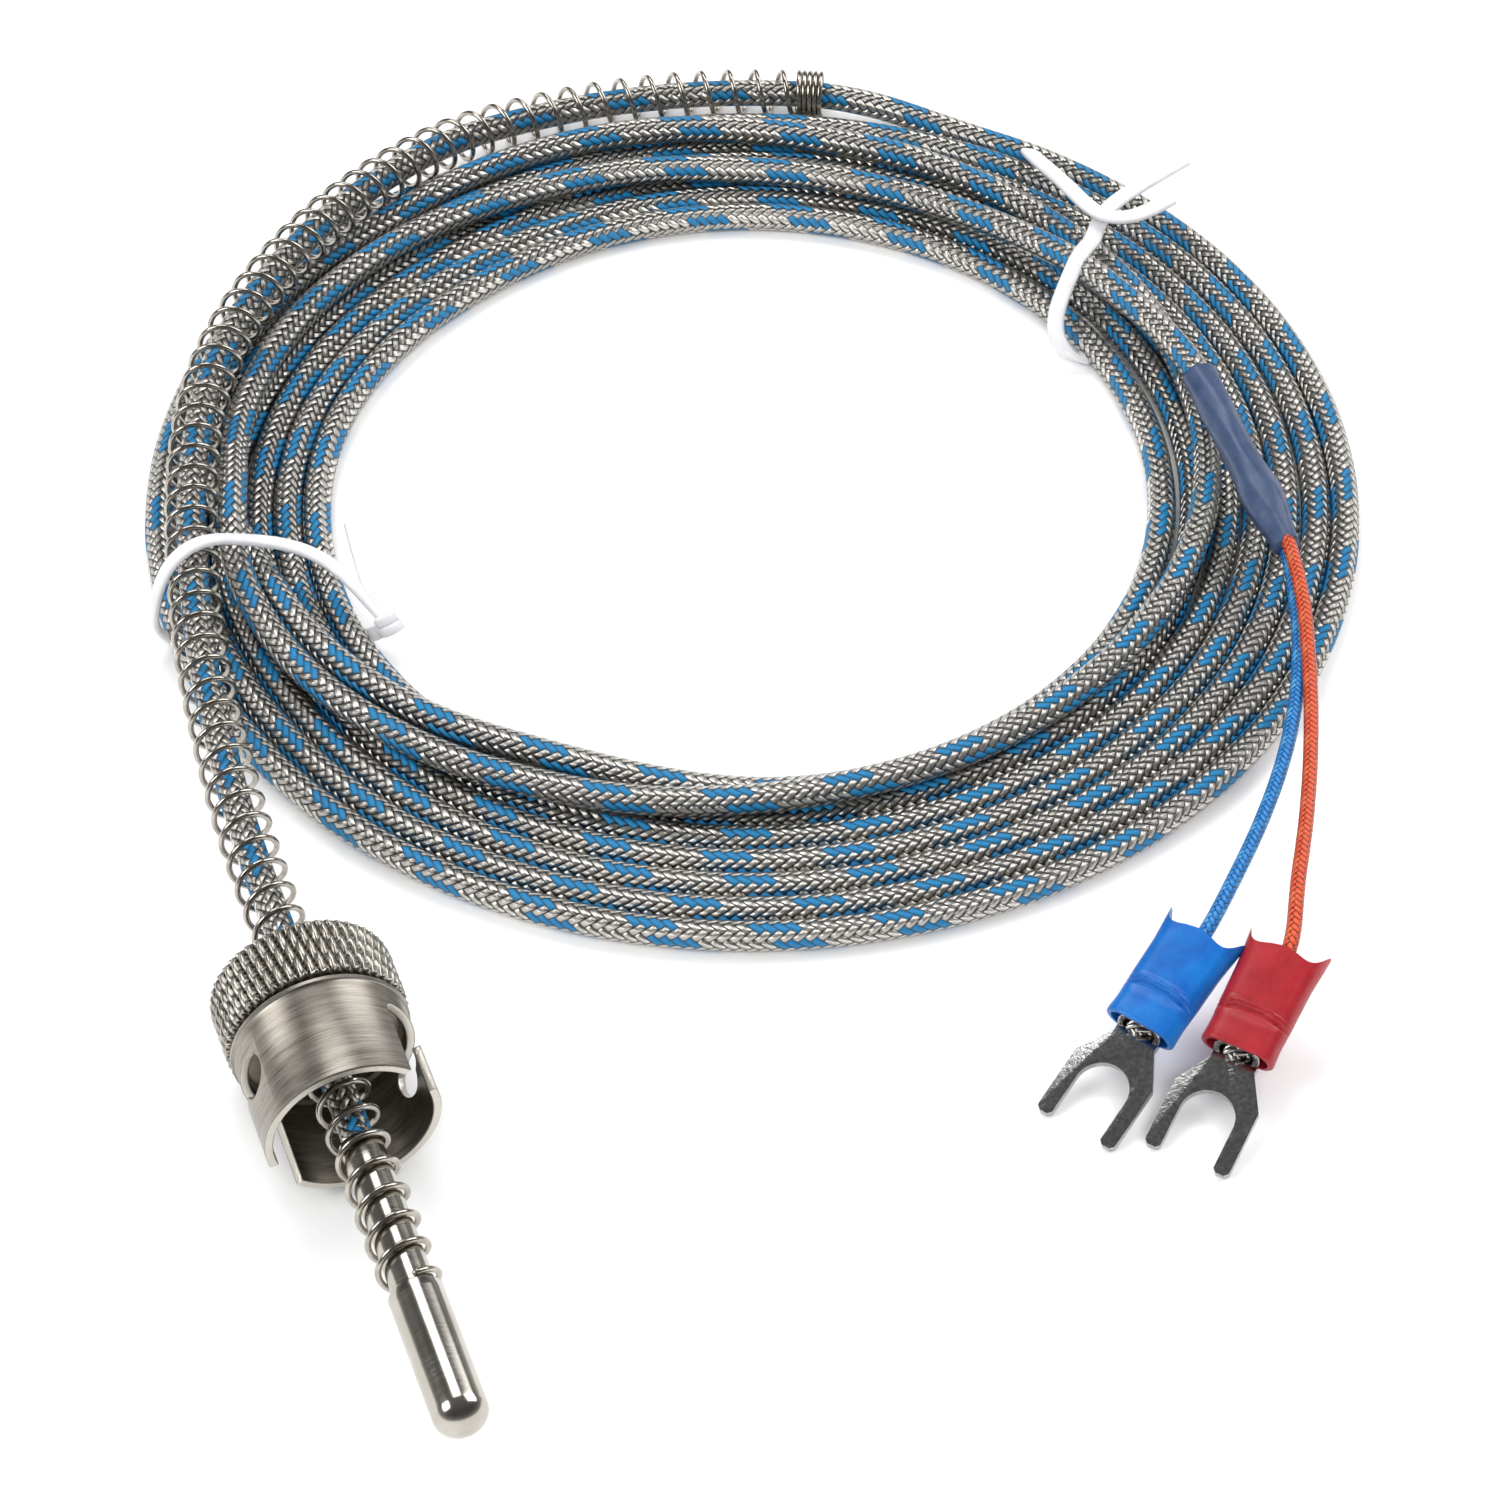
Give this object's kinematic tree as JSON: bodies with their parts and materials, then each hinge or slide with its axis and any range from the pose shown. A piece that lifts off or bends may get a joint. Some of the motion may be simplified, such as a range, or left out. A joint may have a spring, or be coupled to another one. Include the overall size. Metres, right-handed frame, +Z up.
{
  "type": "spring-loaded bayonet thermocouple",
  "caption": "Spring-loaded thermocouple: steel probe, knurled bayonet cap on a long spring, coiled metal-braided cable with ties, and two leads with insulated fork terminals.",
  "frame": {"origin": "on the surface that the part lies on, midway between the probe's tip and the back of the cap, under the probe's axis", "axes": "+Y along the probe's axis from its tip towards the cable, +Z up, +X towards the coil"},
  "size_m": [0.1353, 0.1752, 0.0174],
  "materials": {
    "probe_steel": "polished stainless steel with faint turning marks",
    "cap_nickel": "nickel-plated brass, brushed round the axis, knurled head",
    "spring_steel": "bright nickel-plated spring wire",
    "cable_braid": "fine tinned wire braid with blue tracer threads",
    "thermocouple_alloy": "drawn nickel alloy wire",
    "glass_fibre": "white glass-fibre braid",
    "ceramic": "packed ceramic powder and cement",
    "heat_shrink": "slate-blue shrunk tube, satin",
    "red_braid": "orange-red glass-fibre braid",
    "blue_braid": "bright blue glass-fibre braid",
    "red_vinyl": "translucent red vinyl, satin",
    "blue_vinyl": "translucent blue vinyl, satin",
    "tinned_copper": "bright tin-plated copper with light scratches",
    "conductor_strands": "bare stranded wire",
    "tie_plastic": "white plastic-coated wire"
  },
  "bodies": {
    "base": {"spring_below_cap": "spring_steel", "spring_behind_cap": "spring_steel", "spring_closed_end": "spring_steel", "cable_run": "cable_braid", "cable_coil": "cable_braid", "cable_tail": "cable_braid", "heat_shrink_sleeve": "heat_shrink", "lead_red": "red_braid", "lead_blue": "blue_braid", "red_terminal_fork": "tinned_copper", "red_terminal_sleeve": "red_vinyl", "red_conductor_strands": "conductor_strands", "blue_terminal_fork": "tinned_copper", "blue_terminal_sleeve": "blue_vinyl", "blue_conductor_strands": "conductor_strands", "tie_left": "tie_plastic", "tie_right": "tie_plastic"},
    "carrier": {"spring_turns_in_cap": "spring_steel"},
    "cap": {"cap_knurled_head": "cap_nickel", "cap_bayonet_shell": "cap_nickel"},
    "probe": {"probe_sheath": "probe_steel", "hot_junction": "thermocouple_alloy", "conductor_positive": "thermocouple_alloy", "conductor_negative": "thermocouple_alloy", "insulation_positive": "glass_fibre", "insulation_negative": "glass_fibre", "ceramic_fill": "ceramic", "cable_end_in_probe": "cable_braid"}
  },
  "joints": [
    {"name": "cap_advance", "type": "slide", "parent": "base", "child": "carrier", "axis": [0, 1, 0], "range_m": [-0.0124, 0.0093], "deforming": ["spring_turns_in_cap"]},
    {"name": "cap_turn", "type": "hinge", "parent": "carrier", "child": "cap", "pos_m": [0, 0.0225, 0.0087], "axis": [0, 1, 0], "range_deg": [-1440, 1080]},
    {"name": "probe_retract", "type": "slide", "parent": "base", "child": "probe", "axis": [0, 1, 0], "range_m": [0, 0.008], "stiffness_N_per_m": 375, "deforming": ["spring_below_cap", "cable_run"]}
  ],
  "couplings": [
    {"joint": "cap_turn", "follows": "cap_advance", "rad_per_m": 2026.8}
  ]
}
